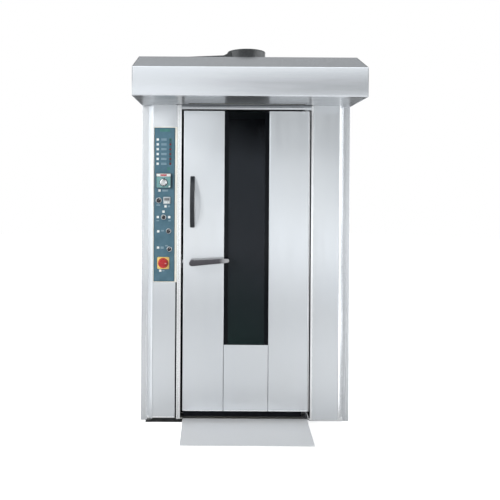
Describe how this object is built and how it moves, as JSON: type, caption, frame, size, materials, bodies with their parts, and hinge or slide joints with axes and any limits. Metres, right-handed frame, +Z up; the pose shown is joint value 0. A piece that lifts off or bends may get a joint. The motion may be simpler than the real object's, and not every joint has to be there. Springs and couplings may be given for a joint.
{
  "type": "rotating rack oven",
  "caption": "Free-standing stainless rotating rack oven with a windowed hinged door, steam hood, top rack drive, control column and loading ramp.",
  "frame": {"origin": "on the floor at the middle of the footprint, which runs from the hood's fascia to the rear panel", "axes": "+Z up, -Y out of the door, +X to the right of someone who faces the door"},
  "size_m": [1.35, 1.98, 2.4],
  "materials": {
    "stainless": "brushed",
    "mirror_steel": "mirror polished",
    "liner_steel": "mill finish, heat tinted",
    "machine_steel": "machined",
    "black_paint": "satin black",
    "heater_metal": "oxidised",
    "motor_paint": "painted casting",
    "mineral_wool": "felted",
    "window_glass": "tempered, black border",
    "seal_rubber": "matt",
    "handle_plastic": "satin charcoal",
    "lever_metal": "satin dark grey",
    "overlay_plastic": "satin teal",
    "lamp_plastic": "clear red",
    "timer_plastic": "gloss",
    "knob_metal": "satin",
    "yellow_plastic": "satin",
    "red_plastic": "satin"
  },
  "bodies": {
    "casing": {"base_frame": "black_paint", "chamber_floor": "liner_steel", "side_panel_left": "stainless", "side_panel_right": "stainless", "rear_panel": "stainless", "roof_deck": "liner_steel", "bevel_post_left": "stainless", "bevel_post_right": "stainless", "control_column_cover": "stainless", "right_column_cover": "stainless", "lintel_bar": "stainless", "front_frame": "stainless", "chamber_wall_left": "liner_steel", "chamber_wall_right": "liner_steel", "chamber_ceiling": "liner_steel", "chamber_back_wall": "liner_steel", "insulation_wrap": "mineral_wool", "air_baffle": "liner_steel", "heater_bank": "heater_metal", "steam_cascade": "machine_steel", "hood_shell": "stainless", "hood_soffit": "mirror_steel", "flue_pipe": "black_paint", "ramp": "stainless", "hinge_bracket_upper": "machine_steel", "hinge_bracket_lower": "machine_steel", "gearmotor": "motor_paint", "drive_chain": "machine_steel", "shaft_bearing": "black_paint", "fan_motor": "motor_paint", "overlay_plate": "overlay_plastic", "indicator_lamps": "lamp_plastic", "timer_case": "timer_plastic", "switch_plate": "yellow_plastic", "temperature_display": "knob_metal"},
    "door": {"door_skin_left": "stainless", "door_skin_right": "stainless", "door_skin_lower": "stainless", "door_pan": "liner_steel", "door_insulation": "mineral_wool", "door_glass_outer": "window_glass", "door_glass_inner": "window_glass", "door_gasket": "seal_rubber", "door_sweep": "seal_rubber", "door_handle": "handle_plastic", "latch_housing": "lever_metal"},
    "latch_lever": {"latch_lever": "lever_metal"},
    "latch_bolt": {"latch_bolt": "machine_steel"},
    "rack_carrier": {"drive_shaft": "machine_steel", "rack_carrier": "machine_steel", "driven_sprocket": "machine_steel"},
    "gearmotor_output": {"drive_sprocket": "machine_steel"},
    "fan_wheel": {"fan_impeller": "liner_steel"},
    "flue_damper": {"damper_blade": "machine_steel"},
    "timer_knob": {"timer_knob": "knob_metal"},
    "light_selector": {"light_selector": "knob_metal"},
    "mode_selector": {"mode_selector": "knob_metal"},
    "fan_selector": {"fan_selector": "knob_metal"},
    "steam_selector": {"steam_selector": "knob_metal"},
    "main_switch": {"main_switch_knob": "red_plastic"}
  },
  "joints": [
    {"name": "door_hinge", "type": "hinge", "parent": "casing", "child": "door", "pos_m": [0.39, -0.553, 1.04], "axis": [0, 0, 1], "range_deg": [0, 105]},
    {"name": "latch_turn", "type": "hinge", "parent": "door", "child": "latch_lever", "pos_m": [-0.343, -0.6, 1.034], "axis": [0, 1, 0], "range_deg": [0, 45]},
    {"name": "bolt_slide", "type": "slide", "parent": "door", "child": "latch_bolt", "axis": [1, 0, 0], "range_m": [0, 0.012]},
    {"name": "carrier_spin", "type": "hinge", "parent": "casing", "child": "rack_carrier", "pos_m": [0, 0.098, 2.1], "axis": [0, 0, 1], "continuous": true},
    {"name": "gearmotor_spin", "type": "hinge", "parent": "casing", "child": "gearmotor_output", "pos_m": [0.33, 0.098, 2.2], "axis": [0, 0, 1], "continuous": true},
    {"name": "fan_spin", "type": "hinge", "parent": "casing", "child": "fan_wheel", "pos_m": [0, 0.7, 1.65], "axis": [0, 1, 0], "continuous": true},
    {"name": "damper_turn", "type": "hinge", "parent": "casing", "child": "flue_damper", "pos_m": [0, -0.46, 2.28], "axis": [1, 0, 0], "range_deg": [0, 90]},
    {"name": "timer_turn", "type": "hinge", "parent": "casing", "child": "timer_knob", "pos_m": [-0.528, -0.6, 1.544], "axis": [0, 1, 0], "range_deg": [0, 300]},
    {"name": "light_turn", "type": "hinge", "parent": "casing", "child": "light_selector", "pos_m": [-0.5595, -0.58, 1.429], "axis": [0, 1, 0], "range_deg": [0, 90]},
    {"name": "mode_turn", "type": "hinge", "parent": "casing", "child": "mode_selector", "pos_m": [-0.528, -0.58, 1.3215], "axis": [0, 1, 0], "range_deg": [0, 90]},
    {"name": "fan_switch_turn", "type": "hinge", "parent": "casing", "child": "fan_selector", "pos_m": [-0.4955, -0.58, 1.233], "axis": [0, 1, 0], "range_deg": [0, 90]},
    {"name": "steam_turn", "type": "hinge", "parent": "casing", "child": "steam_selector", "pos_m": [-0.49, -0.58, 1.118], "axis": [0, 1, 0], "range_deg": [0, 60]},
    {"name": "main_switch_turn", "type": "hinge", "parent": "casing", "child": "main_switch", "pos_m": [-0.528, -0.59, 1.029], "axis": [0, 1, 0], "range_deg": [0, 90]}
  ],
  "couplings": [
    {"joint": "bolt_slide", "follows": "latch_turn", "m_per_rad": 0.0152},
    {"joint": "gearmotor_spin", "follows": "carrier_spin", "ratio": 2}
  ]
}
